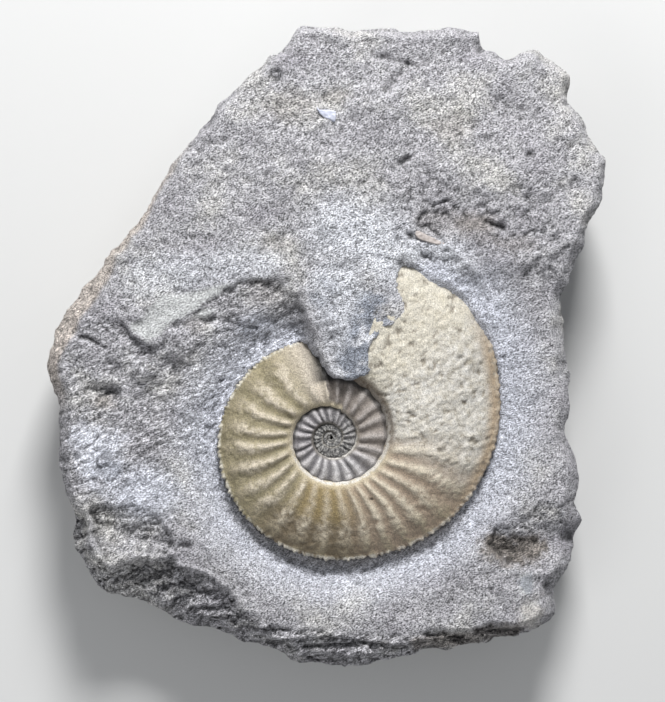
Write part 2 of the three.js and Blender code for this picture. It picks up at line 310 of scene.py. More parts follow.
# The last whorl: angle, keel radius, umbilical seam radius, half thickness.
LAST_WHORL = np.array([
    (70, 30.8, 9, 4.6), (100, 32, 10, 5.1), (120, 33, 10.6, 5.4), (150, 34.4, 11.3, 5.8),
    (180, 36.2, 11.7, 6.1), (210, 37, 12.2, 6.3), (240, 37.9, 12.8, 6.6), (270, 39, 13.6, 6.9),
    (285, 40, 14.1, 7.1), (300, 41.9, 14.7, 7.4), (315, 44.5, 15.4, 7.7), (330, 47.4, 16, 8.1),
    (345, 50.2, 16.7, 8.4), (360, 53.4, 17.4, 8.7), (375, 56.3, 17.8, 8.9), (390, 60, 18.2, 9),
    (405, 62.8, 18.5, 9.1), (430, 66.5, 19, 9.2),
])


def whorl_size(angle, column):
    """Keel radius (1), seam radius (2) or half thickness (3). Inner whorls are the last made smaller."""
    turns_in = np.maximum(0, np.ceil((LAST_WHORL[0, 0] - angle) / 360))
    in_last = np.interp(angle + 360 * turns_in, LAST_WHORL[:, 0], LAST_WHORL[:, column])
    return in_last / WHORL_GROWTH**turns_in


def flank(u, angle):
    """Share of the half thickness at a share u of the way from seam to keel. The end is fuller."""
    fullness = 1.9 + 3.5 * ease(angle, 372, 412)
    wall = (1 - np.clip(1 - u / 0.3, 0, 1) ** 3.0) ** 0.5
    taper = np.clip(1 - np.clip((u - 0.3) / 0.7, 0, 1) ** fullness, 0, 1) ** 0.95
    return np.where(u < 0.3, wall, taper)


def coil_place(x, y):
    """Angle round the coil in the last whorl, and distance from its centre."""
    angle = np.degrees(np.arctan2(y - COIL_CENTRE[1], x - COIL_CENTRE[0]))
    reach = np.hypot(x - COIL_CENTRE[0], y - COIL_CENTRE[1])
    return np.mod(angle - LAST_TURN, 360) + LAST_TURN, reach


for at in (90, 180, 270, 360):
    print("keel radius at", at, "degrees:", round(float(whorl_size(at, 1)), 1), "mm")

# %% Levels of the face
# The outline of the untouched upper face, with the ledge and the tongue as its lower edge.
PLATEAU = [
    (-130, 20), (-84, 12), (-79, 13.2), (-74, 12.6), (-70.4, 10.7), (-65.5, 8.4), (-63.4, 6.6), (-61.3, 4),
    (-59.5, 2.6), (-57, 1.2), (-53.8, 1.7), (-50.6, 5), (-48.5, 7.6), (-44, 10.4), (-40.3, 12.6),
    (-36, 15.8), (-32.6, 18.1), (-27.5, 21), (-21, 22.3), (-15, 22.8), (-12.2, 21.3), (-9.8, 17.5),
    (-8, 13.5), (-6.6, 9.2), (-4.8, 5), (-3.3, 0), (-2.2, -3), (-1.6, -6), (0, -8.6), (3, -9.3), (8, -9.6),
    (12, -8.8), (14.4, -7), (14, -4), (13.2, -1.5), (15, 3), (17.5, 6.6), (22.8, 7.8), (26.5, 9.6),
    (25.3, 14), (23.6, 18), (22.3, 22.4), (24.5, 25.5), (28, 28.5), (33, 30), (38, 29), (43, 26.5),
    (48, 27), (55, 31), (66, 35), (130, 35), (130, 150), (-130, 150),
]
# Spot heights above the coil's plane: (x, y, height). A smooth surface is laid through each list.
PLATEAU_SPOTS = [
    (-76, 17, 6.5), (-70, 22, 7.5), (-50, 35, 9), (-30, 60, 9.3), (-15, 85, 8.4), (0, 95, 8), (30, 95, 8),
    (60, 85, 7), (75, 80, 6), (80, 60, 6.8), (82, 45, 7), (60, 60, 9), (40, 70, 9.5), (20, 75, 9.8),
    (0, 60, 9.8), (-20, 40, 10), (-35, 25, 9.6), (-50, 15, 9.2), (-56, 7, 8.6), (-68, 12, 7.4),
    (-5, 28, 10), (4, 12, 10.4), (10, 0, 10.4), (8, -9, 9), (0, -4, 6.8), (20, 15, 10.6), (24, 30, 9.8),
    (15, 45, 10), (35, 40, 9.4), (50, 42, 9), (70, 40, 8), (48, 30, 9.2), (34, 27, 8.4), (62, 36, 8),
]
APRON_SPOTS = [
    (-84, 8, 5.6), (-72, 4, 6.4), (-60, -3, 7), (-48, 4, 8.4), (-38, 10, 8.8), (-27, 17, 8.2),
    (-17, 16, 7.4), (-10, 8, 4.2), (-86, -10, 4.4), (-70, -14, 4.4), (-55, -16, 4), (-42, -8, 4.4),
    (-32, 2, 4.6), (-80, -35, 3), (-70, -34, 3.8), (-50, -40, 1.5), (-78, -47, 3), (-60, -47, 2.6),
    (-45, -57, 2), (-25, -75, 2.6), (0, -80, 2.4), (25, -83, 2), (45, -82, 1.5), (60, -78, 0.8),
    (70, -78, 0), (50, -60, 1.5), (66, -46, 1), (75, -30, 0.5), (70, -10, 1), (72, 6, 1.4), (62, -20, 0.6),
    (75, 16, 2.4), (78, 26, 5.4), (66, 20, 3.4), (62, 30, 8.2), (72, 32, 7), (52, 18, 4.4), (52, 25, 7),
    (44, 27, 8.6), (60, 8, 2), (38, 27, 9),
]


def spread(spots, x, y):
    """A smooth surface through spot heights: each one counts for more the nearer it is."""
    total, weights = 0, 0
    for spot_x, spot_y, height in spots:
        weight = ((x - spot_x) ** 2 + (y - spot_y) ** 2 + 25) ** -2.0
        total, weights = total + weight * height, weights + weight
    return total / weights


def apron_level(x, y):
    """The cleaned face, with a trench along the keel, and how far each place is outside the keel."""
    angle, reach = coil_place(x, y)
    past_keel = reach - whorl_size(angle, 1)
    trench = -1.8 + 2.0 * np.sin(np.radians(angle)) + 4.4 * ease(angle, 376, 400)
    trench = trench + 3.0 * ease(angle, 400, 416)
    level = mix(trench, spread(APRON_SPOTS, x, y), ease(past_keel, 2, 15))
    covered = 4 * ease(angle, 404, 424)  # how far the rock still lies over the end of the shell
    fall = 1.6 - 0.8 * ease(angle, 380, 400)  # how steeply it feathers out
    return level + np.clip((past_keel + covered) * fall, -9, 0), past_keel


def cover_level(x, y):
    """The thin rock that still covers part of the shell: it feathers out towards its edge."""
    angle, reach = coil_place(x, y)
    keel, seam, thick = (whorl_size(angle, k) for k in (1, 2, 3))
    u = (reach - seam) / (keel - seam)
    shell = np.where((u > 0.12) & (angle > 360), thick * flank(np.clip(u, 0, 1), angle), 20)
    thickness = 0.5 + 0.45 * np.clip(inside_by(PLATEAU, x, y), 0, None)
    return shell + thickness + 44 * np.clip(u - 0.85, 0, None)


print(len(PLATEAU_SPOTS), "heights on the upper face,", len(APRON_SPOTS), "on the apron")

# %% [markdown]
# ## The slab: breaks, hollows, ridges and cracks
# What makes this rock this rock is some sixty marks: the broken bevel along the bottom, the scoop at
# the lower left, the pocket at the lower right, the hollow where another shell came away, and cracks and
# pits all over. Each is one line in a list, by place, size and depth, and a short function adds a kind
# of mark to the face.

# %% Marks
# The brow: below this line the face breaks off and falls away to the bottom edge.
BROW = [
    (-130, -48), (-84, -50), (-81, -51.5), (-77.5, -53), (-75.3, -57), (-74.5, -60), (-73.5, -64),
    (-71.5, -67.5), (-69, -68.6), (-66, -68), (-62, -67), (-59.5, -65.8), (-55, -66.2), (-51, -66),
    (-49.6, -65.4), (-47.4, -66.2), (-44.5, -68.8), (-39.5, -71.4), (-36, -73.6), (-33, -75.4), (-30, -78),
    (-27, -81), (-24, -83.6), (-20, -86), (-12, -88.6), (0, -89.5), (9.8, -90), (19.5, -90), (30, -90),
    (39.6, -90.2), (47, -89.2), (53, -88), (59.7, -89.7), (66, -88.6), (72, -86), (78, -82), (130, -78),
    (130, 150), (-130, 150),
]
# Hollows: middle, half width, half height, turn in degrees, depth.
HOLLOWS = [
    (-79.5, -57, 4.5, 7, 0, 6), (-45, -62.8, 4, 1.7, -12, 1.5), (-48.4, -64.2, 2.6, 1.5, 25, 1.1),
    (-58, -72, 9, 4, 12, 1.6), (-36, -77, 5, 3, -35, 0.7), (37, 41, 11, 6.5, 15, 1.7),
    (47, 43, 7, 5, -20, 1.2), (54, 38.4, 6, 2, -22, 1.2), (69.5, 47.5, 4, 2.6, 0, 1.2),
    (-71.5, -37.5, 5, 6, 0, 1.2), (-70.5, -16, 6, 4, 0, 1.6), (-67, -6, 4, 5, 15, 0.9),
    (-71, -13.5, 7, 3, -10, 1.6), (-56, -1, 5, 2.4, 20, 0.8), (-36, 8.5, 9, 2.6, 15, 0.9),
    (-15.5, 16.5, 6, 5, -50, 0.9), (-7.5, 8, 3.4, 8, 15, 0.9), (25.2, 59.6, 3.4, 1.6, 38, 1.5),
    (42.3, 67, 2.2, 1.2, 10, 1.2), (40, 71, 9, 5, 10, 0.8), (3, 80, 9, 4, 10, 0.8),
    (-16, 33, 8, 4, 25, 0.8), (23, 34.4, 1.8, 2.4, 20, 1.2), (26.6, 35.4, 1.8, 2, 20, 1),
    (65, 61.5, 3, 1.6, 0, 0.9), (79, 52, 3, 3, 0, 1.2), (-16, 86, 3.5, 3, 0, 1.4), (48, 96, 4, 4, 0, 1.6),
    (-38, 72, 3, 4, 45, 1), (8, 84, 6, 3, 15, 0.8), (-8, 52, 9, 5, 30, 0.7), (-42, 34, 8, 5, 20, 0.8),
    (58, 76, 8, 5, -20, 0.9), (45, 8, 2.6, 12, 35, 0.6),
]
# Facets that broke out of the face: corners, width of the wall round them, how much their floor leans
# with x, and the floor's depth at each y.
FACETS = [
    ([(-77.5, -52.5), (-72, -50.6), (-66, -49.6), (-60, -49.4), (-56, -51.4), (-52.5, -54.4),
      (-50.5, -58), (-49.5, -61), (-49.6, -64.2), (-52, -66.4), (-56, -65.8), (-59.5, -65.4),
      (-62, -66.8), (-66, -68), (-70, -69), (-73, -64.5), (-74.5, -60), (-75.6, -56.6)],
     2.4, -0.3, [(-48, 0.2), (-59.2, 4.2), (-67.5, 0.9)]),
    ([(57, -55), (60, -51), (70, -47), (92, -47), (92, -68), (76, -69), (71, -71), (60, -70.5),
      (55, -66.5), (50.5, -62.8), (53, -59)],
     3, 0.2, [(-49, 0.2), (-60, 4.3), (-62.5, 5.3), (-70, 1)]),
]
# Ridges (up) and cracks (down): line, half width, height.
LINES = [
    ([(-78.5, 3.4), (-74, 2.2), (-70.3, 0.8)], 1.2, -1.2),
    ([(-41, 9), (-34, 8.4), (-28, 8), (-22.4, 6.6)], 1.1, -0.7),
    ([(-75.5, -13), (-71, -13.2), (-66.6, -14.7)], 1.2, -1.0),
    ([(29.4, 39.8), (31.4, 43.4), (34.2, 45.8), (38.4, 46.9)], 0.9, -1.5),
    ([(28.7, 38.4), (32.4, 38.8), (34.9, 36.9), (37.5, 34.2)], 0.9, -1.5),
    ([(51.1, 39.5), (53.6, 38.8), (56.7, 37)], 1.0, -1.0),
    ([(26.7, 90.3), (23, 86.4), (19, 82.5)], 1.6, -1.5),
    ([(14.7, 93.4), (20, 92), (26, 91)], 1.1, -0.9),
    ([(37.6, 33.4), (40.4, 30.6), (44.7, 26.4), (49.6, 22.6), (55, 14)], 1.8, 0.9),
    ([(60, 46), (66, 43), (72, 37)], 2, 0.6),
    ([(-77, -53), (-75.2, -57), (-74.4, -61), (-72.5, -66), (-70, -69)], 1.3, 1.8),
    ([(-47, -69.4), (-43, -70.4), (-39, -71.6), (-35, -73.6), (-31, -76)], 1.2, 1.5),
    ([(-52, -77), (-46, -75.2), (-40, -75.4)], 1.2, -1.2),
    ([(-20, -94), (-10, -95.6), (0, -95), (8, -94.4)], 1.4, -1.8),
    ([(33, -91.4), (42, -92), (52, -90.6), (62, -90)], 1.9, -3),
    ([(16, 40), (20, 34), (27, 28.5)], 4, 0.7),
    ([(-4, 47), (2, 40), (4, 33)], 3, 0.5),
    ([(59.5, -70.3), (66, -72.6), (71.7, -72.2)], 1.6, 0.9),
    ([(-62, 5), (-57, 3.2), (-52, 6.5), (-44, 12.6), (-33, 19.6)], 2.4, 0.5),
]
# Smooth facets, with neither chips nor grit: corners.
SMOOTH_FACETS = [
    [(-63.4, 6.6), (-57, 1.4), (-49.3, 6.6), (-40, 12.3), (-27.5, 21), (-39, 19.4), (-53, 16.8), (-59, 9)],
    [(61.4, -72), (66, -71.6), (67.4, -76), (65, -79.4), (62, -78)],
    [(63, -80.6), (68, -80.4), (69.4, -85), (68, -89.4), (62, -89.4)],
    [(-43.5, 9.4), (-40, 12.4), (-34.6, 12.6), (-36, 9.6), (-39, 8)],
]
# Patches where the stone is painted a little darker, two of them as painted shade in the hollow at
# (-70, -17): middle, half width, half height.
DARKER_SPOTS = [
    (40, 70, 9, 6), (-12, 77, 11, 7), (-16, 33, 8, 4), (-41, 7.5, 5, 4), (-70, -17, 6, 4), (60, 33, 9, 4),
    (3, 80, 6, 3), (47, 40, 8, 4), (-71, -17, 5, 3),
]


def add_hollows(level, x, y):
    for middle_x, middle_y, half_width, half_height, turn, depth in HOLLOWS:
        c, s = math.cos(math.radians(turn)), math.sin(math.radians(turn))
        across = ((x - middle_x) * c + (y - middle_y) * s) / half_width
        along = ((y - middle_y) * c - (x - middle_x) * s) / half_height
        level = level - depth * (1 - ease(np.hypot(across, along), 0.25, 1.05))
    return level


def add_facets(level, x, y):
    for corners, wall, lean, floor_line in FACETS:
        along = y - lean * (x - np.mean([corner[0] for corner in corners]))
        depth = np.interp(-along, [-at for at, _ in floor_line], [deep for _, deep in floor_line])
        # The upper part of the floor is cut by the ends of thin beds.
        ripple = 0.9 * np.mod((y - 0.35 * x) / 2.1 + 0.5 * np.sin(x / 4.1) + 0.3 * np.sin(x * 0.9), 1)
        ripple = ripple * (1 - ease(-along, -floor_line[1][0] - 3, -floor_line[1][0] + 2))
        level = level - (depth - ripple) * ease(inside_by(corners, x, y), -wall * 0.4, wall * 0.6)
    return level


def add_lines(level, x, y):
    for points, half_width, height in LINES:
        level = level + height * (1 - ease(line_distance(points, x, y), 0, half_width * 1.4))
    return level


print(len(HOLLOWS), "hollows,", len(FACETS), "facets,", len(LINES), "ridges and cracks")

# %% [markdown]
# ## The slab: sculpting
# Every point of the blank is now moved. A point on the face goes to the height that the levels and the
# marks give it, a point on a side keeps its share of that height and draws in towards the back, and
# seeded noise breaks every surface: large lumps, flat chips and fine grit, more on the untouched rock
# than on the cleaned apron. Along the bottom the break follows the thin beds of the rock.

# %% Sculpt: the lie of the face
EDGE_WIDTHS = [  # how wide the broken edge is, by direction from the middle in degrees
    (0, 4), (20, 3.5), (32, 3), (63, 3), (90, 2.5), (132, 2.5), (157, 4), (168, 7), (176, 8), (186, 5),
    (199, 4), (212, 3), (225, 4), (270, 5), (300, 4), (318, 5), (329, 4), (360, 4),
]
EDGE_STEEPNESS = 1.4  # how far the broken edge falls for each millimetre outwards
LOWEST_RIM = 9.0
BACK_INSET = 9.0  # how much smaller the back is all round
FACE_FROM = 0.96  # of the blank's height: a point above this belongs to the face
BACK_BELOW = 0.03  # and one below this to the flat back
BED = 5.3  # thickness of the rock's beds, and of the thin ones between
THIN_BED = 1.9

blank = points_of(slab)
x, y = blank[:, 0], blank[:, 1]
share = np.clip(blank[:, 2] / BLANK_HEIGHT, 0, 1)
on_face = share > FACE_FROM

# Lines and outlines are read at places moved a little by noise, so that no edge runs smooth.
wx = x + 0.9 * fractal(x, y, 0, 7, 4, 1) + 0.5 * fractal(x, y, 0, 2.6, 3, 21)
wy = y + 0.9 * fractal(x, y, 0, 7, 4, 2) + 0.5 * fractal(x, y, 0, 2.6, 3, 22)
apron, past_keel = apron_level(wx, wy)
apron = apron + 1.1 * fractal(x, y, 0, 20, 3, 23) * ease(past_keel, 6, 20)
plateau = spread(PLATEAU_SPOTS, wx, wy) - 0.4
# The step between the two is sharp, but slopes at the tongue's left and fades out on the right.
beside_tongue = 1 - ease(line_distance([(-11, 17), (-6, 6), (-2.5, -3)], x, y), 4, 11)
slope_width = 0.7 + 4 * beside_tongue + 4.5 * ease(x, 25, 31) + 2 * ease(x, 40, 52)
on_plateau = ease(inside_by(PLATEAU, wx, wy) / slope_width, -1, 0.4)
step = 0.3 + 0.7 * ease(x, -50, -30) - 0.9 * ease(x, 22, 30)
level = mix(np.minimum(apron, plateau - step), plateau, on_plateau)

past_brow = np.clip(-inside_by(BROW, wx, wy), 0, None)
around = np.mod(np.degrees(np.arctan2(y, x)), 360)
edge_width = np.interp(around, *zip(*EDGE_WIDTHS))
edge_wander = 0.8 * fractal(x, y, 0, 8, 3, 9)
from_edge = np.clip(edge_width - inside_by(OUTLINE, x, y) + edge_wander, 0, None)
level = add_lines(add_hollows(level, wx, wy), wx, wy)
level = add_facets(level, wx + 1.3 * fractal(x, y, 0, 5, 4, 24), wy + 1.3 * fractal(x, y, 0, 5, 4, 25))
level = np.where(on_plateau > 0.3, np.minimum(level, cover_level(wx, wy)), level)
print("face lies", np.round([level.min(), level.max()], 1), "mm from the coil's plane")


# %% Sculpt: how rough each place is
def near_line(points, start, end, ragged=0):
    """1 along a line on the face, falling to 0 at the distance end."""
    return 1 - ease(line_distance(points, wx, wy) + ragged, start, end)


def near_spot(middle_x, middle_y, half_width, half_height, start, end, ragged=0):
    """1 in the middle of an oval on the face, falling to 0 at the share end of its size."""
    away = np.hypot((x - middle_x) / half_width, (y - middle_y) / half_height)
    return 1 - ease(away + ragged, start, end)


near_shell = 1 - ease(past_keel, 1, 20)
# Two spots get the same pale tint: one at the lower left, and one beside the tongue, where the pale tint is
# painted light that lifts the tongue's shadow.
near_shell = np.maximum(near_shell, 0.9 * near_spot(-57, -46, 17, 12, 0.3, 1.1))
near_shell = np.maximum(near_shell, 0.9 * near_spot(-21, 6, 10, 7, 0.4, 1.1))
smooth_facet = sum(ease(inside_by(corners, wx, wy), -0.5, 1.5) for corners in SMOOTH_FACETS)
untouched = np.maximum(on_plateau, ease(past_brow, 0, 3))
recess = (1 - untouched) * ease(-x + y + 60 - 0.6 * past_keel.clip(-5, 5), 30, 80)
rough = 0.65 + 0.2 * on_plateau + 0.2 * recess + 1.0 * ease(past_brow, 0, 3)
rough = rough * (1 - 0.3 * near_shell * (1 - on_plateau)) * (1 - 0.85 * smooth_facet.clip(0, 1))
rough = rough + 0.35 * (1 - ease(np.abs(past_keel - 1.5), 1, 4))
rough = rough + 0.5 * near_line([(20, 52), (60, 46), (70, 30)], 4, 10)
print("roughness from", np.round(rough.min(), 2), "to", np.round(rough.max(), 2))

# %% Sculpt: lumps, chips and slates
turned_x, turned_y = wx * 0.9 + wy * 0.43, wy * 0.9 - wx * 0.43
large = fractal(x, y, 0, 16, 5, 3)
small = fractal(x, y, 0, 2.2, 4, 4)
chips = chipped(turned_x / 1.6, turned_y, 3.6, 5)
slates = shingles(turned_x, turned_y, 5, 6) * 0.8 + shingles(turned_x, turned_y, 2.2, 8) * 0.5
folds = fractal(turned_x / 2.5, turned_y, 0, 9, 3, 27)
broken = large * 1.5 + folds * 0.7 + small * 0.6 + chips * 0.8 + slates * (0.5 + 0.6 * recess)
level = level + rough * broken
print("breakage stands up to", round(float((rough * broken).max()), 1), "mm")

# %% Sculpt: the bevel, the edge and the sides
gentle = ease(x, -27, -14)  # the bevel is steep at the left and gentle along the bottom
level = level - past_brow * (0.5 - 0.25 * gentle) - (2.8 - 2.6 * gentle) * ease(past_brow, 0, 5)
level = level - from_edge * EDGE_STEEPNESS
beds = y - 0.36 * np.minimum(x, -25) + 3.4 * fractal(x / 2.5, y, 0, 8, 5, 7)
bed_ends = 2.8 * (0.5 - beds / BED % 1) + 1.3 * (0.5 - beds / THIN_BED % 1)
level = level + ease(past_brow, 0, 3) * bed_ends
height = np.maximum(COIL_PLANE + level, LOWEST_RIM + 1.5 * small)

inset = BACK_INSET * (1 - share) ** 2
shrink = 1 - inset / np.maximum(np.hypot(x, y), 40)
side = np.stack([x * shrink, y * shrink, share * height], axis=1)
crumble = fractal(*side.T, 7, 4, 8)
outwards = np.stack([x, y], axis=1) / np.maximum(np.hypot(x, y), 40)[:, None]
side[:, :2] += outwards * (crumble * (1 - on_face) * ease(share, 0, 0.1) * 1.3)[:, None]
side[share < BACK_BELOW, 2] = 0
move_points(slab, side)
print("slab is", np.round(np.ptp(side, axis=0), 1), "mm")

# %% [markdown]
# ## The slab: where each finish lies
# A material can't know where the tongue or a pocket is, so each point of the slab keeps numbers that say
# so. Hollows and crests come from the mesh itself: a point that lies lower than its smoothed
# surroundings is in a hollow, and the material darkens it with painted shade. The rest are soft spots and
# bands, ragged with the same noise as the rock; a few of them carry painted shade or a spot of painted light.

# %% Hollows and crests
edges = np.empty(len(slab.data.edges) * 2, int)
slab.data.edges.foreach_get("vertices", edges)
edges = edges.reshape(-1, 2)
neighbours = np.bincount(edges.ravel(), minlength=len(side))


def average_round(values, times):
    """Each point's value shared with its neighbours, over and over, which smooths it."""
    for _ in range(times):
        total = np.bincount(edges[:, 0], values[edges[:, 1]], len(values))
        total += np.bincount(edges[:, 1], values[edges[:, 0]], len(values))
        values = 0.5 * values + 0.5 * total / neighbours
    return values


# How far each point lies below its smoothed surroundings; the material darkens these hollows with painted
# shade.
wide_hollow = average_round(side[:, 2], 14) - side[:, 2]
fine_hollow = average_round(side[:, 2], 3) - side[:, 2]
hollow = np.clip(0.5 * wide_hollow / 0.9 + 0.7 * fine_hollow / 0.3, -1, 1) * on_face
print("hollows to", round(float(fine_hollow[on_face].max()), 2), "mm below their surroundings")

# %% Spots and bands
uneven = fractal(x, y, 0, 6, 4, 28)
weathered = 0.9 * near_spot(-72.5, -33, 10, 12, 0.25, 1.15, 0.35 * uneven + 0.2 * small)
weathered_core = 0.6 * near_spot(-70, -38, 5.5, 4.5, 0.3, 1, 0.5 * uneven)
on_tongue = 0.75 * near_line([(5, 37), (16, 34), (24, 28), (36, 27)], 2, 18)
on_tongue = np.maximum(on_tongue, 0.7 * near_line([(4, 20), (10, -4)], 5, 12))
above_ledge = 0.5 * near_line([(-58, 22), (-40, 24), (-20, 28)], 2, 10)
tongue_edge = near_line([(15, 12), (13, 3), (9, -6)], 3, 9)
# Painted shade on the left part of the tongue, laid in with the darker bluish tint.
shaded = 0.4 * near_spot(-1, 17, 6, 7, 0.4, 1.2, 0.3 * small)
bluish = on_plateau * (tongue_edge + shaded) * ease(fractal(x, y, 0, 5, 4, 26), -0.35, 0.1)
wedge = (1 - on_plateau) * near_line([(-18, 18), (-11, 14)], 3, 9)
# The pocket is painted grey-brown: partly its own brown stone, partly painted shade.
pocket = near_line([(53.5, -63.6), (60, -65), (67, -63.6)], 2, 6.5, 2.4 * small)
undercut = near_line([(30, -94), (42, -93.5), (52, -92), (60, -90.6)], 1.5, 4, small)
second_hollow = near_line([(32, 39), (39, 39.5), (50, 38)], 2, 7, small)
darker = sum(near_spot(*spot, 0.3, 1.1, 0.3 * small) for spot in DARKER_SPOTS)
blue_patch = 0.75 * near_spot(64.4, -75.4, 0.8, 1, 1.4, 4.2, 2 * small)
beige_flat = 0.6 * ease(inside_by(SMOOTH_FACETS[2], wx, wy) + 2.2 * small, -2.5, 3)
left_edge = ease(from_edge, 0.5, 2.5) * ease(around, 118, 140) * (1 - ease(around, 184, 196))
# Painted shadow of the keel on the apron just below the shell, laid in with the grey-brown tint.
keel_shadow = (1 - ease(past_keel, 0, 6)) * ease(-y, 38, 62)
# The grey-brown mask also covers the wedge, the pocket, the undercut, the second hollow and the darker
# patches; in the pocket and in some darker patches it is partly painted shade.
brownish = 0.35 * wedge + pocket + 0.7 * undercut + 0.4 * second_hollow + 0.35 * darker

set_values(slab, "hollow", hollow)
SLAB_MASKS = {
    "near_shell": near_shell * (1 - on_plateau),
    "on_tongue": np.maximum(on_tongue, above_ledge) * on_plateau,
    "bluish": 0.9 * bluish + 0.8 * blue_patch + 0.75 * weathered_core,
    "brownish": brownish + 0.6 * keel_shadow,
    "crust": 0.8 * left_edge + 0.7 * beige_flat,
    "smoothness": 0.4 * smooth_facet + 0.3 * blue_patch + 0.3 * weathered + 0.2 * near_shell,
    "flaky": 0.8 * recess + ease(past_brow, 0, 3) + 0.7 * pocket,
    "weathered": weathered,
    "smooth_facet": smooth_facet,
}
for name, values in SLAB_MASKS.items():
    set_values(slab, name, np.clip(values, 0, 1))
make_active(slab)
bpy.ops.object.shade_smooth()
slab.data.update()
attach(slab, "root")
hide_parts("matrix")
print("slab has", triangles_in(slab), "triangles")

# %% [markdown]
# ## The ammonite
# The shell is a tube that grows as it winds: each whorl's section has a steep inner wall, its greatest
# thickness a third of the way out, and a sharp keel. A flat grid is the easiest start, with one side
# counted round the coil and the other round the section. Each of its points is wound to its place, then
# the seam is merged and the two ends are filled. Ribs, the corded keel and the wear are part of the
# same sum, so they follow the growth of the shell.

# %% Shell surface
# Where the crests of the ribs cross the middle of the flank, in degrees.
CRESTS = [FIRST_ANGLE + 17 * k + 2.5 * math.sin(2.3 * k) for k in range(82)] + [
    53, 68, 82, 95, 110, 127.6, 147, 162.4, 175.5, 187.4, 200.9, 214.5, 226, 241, 254, 267, 280.5, 291,
    300.5, 309.5, 319, 329, 340, 352, 365, 380, 395, 410, 425, 440,
]
# How strongly the ribs of the last whorl stand up: angle, height in millimetres.
RIB_HEIGHTS = [
    (70, 1.8), (88, 1.6), (106, 0.7), (122, 1.0), (140, 1.15), (225, 1.2), (248, 0.5), (275, 0.45),
    (290, 0.95), (325, 1.0), (345, 0.75), (368, 0.2), (440, 0.05),
]
CORD_STEP = 2.6  # degrees between the cords of the keel
TOP_SHARE = 0.8  # of the steps round the section, how many lie on the upper side, which is the one seen


def rib_wave(angle, u):
    """0 between two ribs and 1 on a crest. The ribs bend a little back towards the seam and the keel."""
    lean = 1.8 * (1 - ease(u, 0.05, 0.35)) + 2.4 * ease(u, 0.45, 0.8)
    phase = np.interp(angle + lean, CRESTS, np.arange(len(CRESTS)))
    return (0.5 + 0.5 * np.cos(2 * np.pi * phase)) ** 1.2


def shell_points(angle, around):
    """Places on the shell: around goes 0 to 1 from the seam over the top to the keel and back below."""
    top = around < TOP_SHARE
    u = np.where(top, (around / TOP_SHARE) ** 1.1, (1 - around) / (1 - TOP_SHARE))
    keel, seam, thick = (whorl_size(angle, k) for k in (1, 2, 3))
    seam = seam * ease(angle, FIRST_ANGLE, FIRST_ANGLE + 240)  # the first whorl closes over the middle
    size = keel / LAST_WHORL[-1, 1]
    worn = ease(angle + 14 * ease(u, 0, 1), 342, 374)
    wave = rib_wave(angle, u)
    fade = ease(u - 0.15 * ease(angle, 280, 300), 0.6, 0.95)
    strength = ease(u, 0.02, 0.14) * (1 - 0.6 * fade)
    rib_height = np.where(angle < LAST_TURN, 3.6 * size + 0.15, np.interp(angle, *zip(*RIB_HEIGHTS)))
    rib_height = rib_height * strength * (1 + 0.3 * np.sin(angle * 0.21) * np.sin(angle * 0.083))
    cords = 0.5 + 0.5 * np.cos(2 * np.pi * angle / CORD_STEP)
    cords = cords * (0.6 + 0.5 * np.sin(angle * 0.37) * np.sin(angle * 0.91))
    keel_zone = ease(u, 0.93, 0.99)
    reach = seam + u * (keel - seam) + 0.8 * size**0.4 * (cords - 0.3) * keel_zone * (1 - 0.6 * worn)
    bead = 0.4 * ease(u, 0.93, 0.98) * (1 - ease(u, 0.985, 1.0)) * (0.4 + cords) * (1 - 0.7 * worn)
    lift = thick * flank(u, angle) + rib_height * (wave - 0.5) * np.sqrt(flank(u, angle)) + bead
    radians = np.radians(angle)
    x = COIL_CENTRE[0] + reach * np.cos(radians)
    y = COIL_CENTRE[1] + reach * np.sin(radians)
    return np.stack([x, y, np.where(top, lift, -lift)], axis=1), u, wave * strength, worn


print(len(CRESTS), "ribs,", round((LAST_ANGLE - FIRST_ANGLE) / 360, 1), "whorls")

# %% Wind the shell
ROUND_STEPS = 1000
SECTION_STEPS = 98
deselect()
bpy.ops.mesh.primitive_grid_add(x_subdivisions=ROUND_STEPS, y_subdivisions=SECTION_STEPS, size=2)
shell = bpy.context.object
shell.name = "ammonite_shell"
grid = points_of(shell) * MM / 2 + 0.5
# Steps are spent where they show: a third of them on the small inner whorls, the rest on the last one.
angle = np.interp(grid[:, 0], [0, 0.1, 0.34, 1], [FIRST_ANGLE, -620, LAST_TURN, LAST_ANGLE])
coil, u, wave, worn = shell_points(angle, np.clip(grid[:, 1], 0, 1))
reach = np.hypot(coil[:, 0] - COIL_CENTRE[0], coil[:, 1] - COIL_CENTRE[1])
under_next = whorl_size(angle + 360, 2) - reach  # how far inside the next whorl's seam
print("wound", len(coil), "points")

# %% Wear of the shell
BLEMISHES = [(37, -32.2, 1.9), (43, -2.6, 1.5), (14.5, -47.8, 0.8)]  # small dark pits: place and radius
lumps = fractal(*coil.T, 6, 4, 11)
grain = fractal(*coil.T, 1.8, 4, 13)
pits = ease(fractal(*coil.T, 2.4, 5, 12), 0.3, 0.75)
mottled = ease(u, 0.35, 0.7)
dents = worn * (0.35 * lumps + 0.42 * grain - 0.5 * pits)
dents = dents + (1 - worn) * (0.12 + 0.15 * mottled) * (lumps + grain)
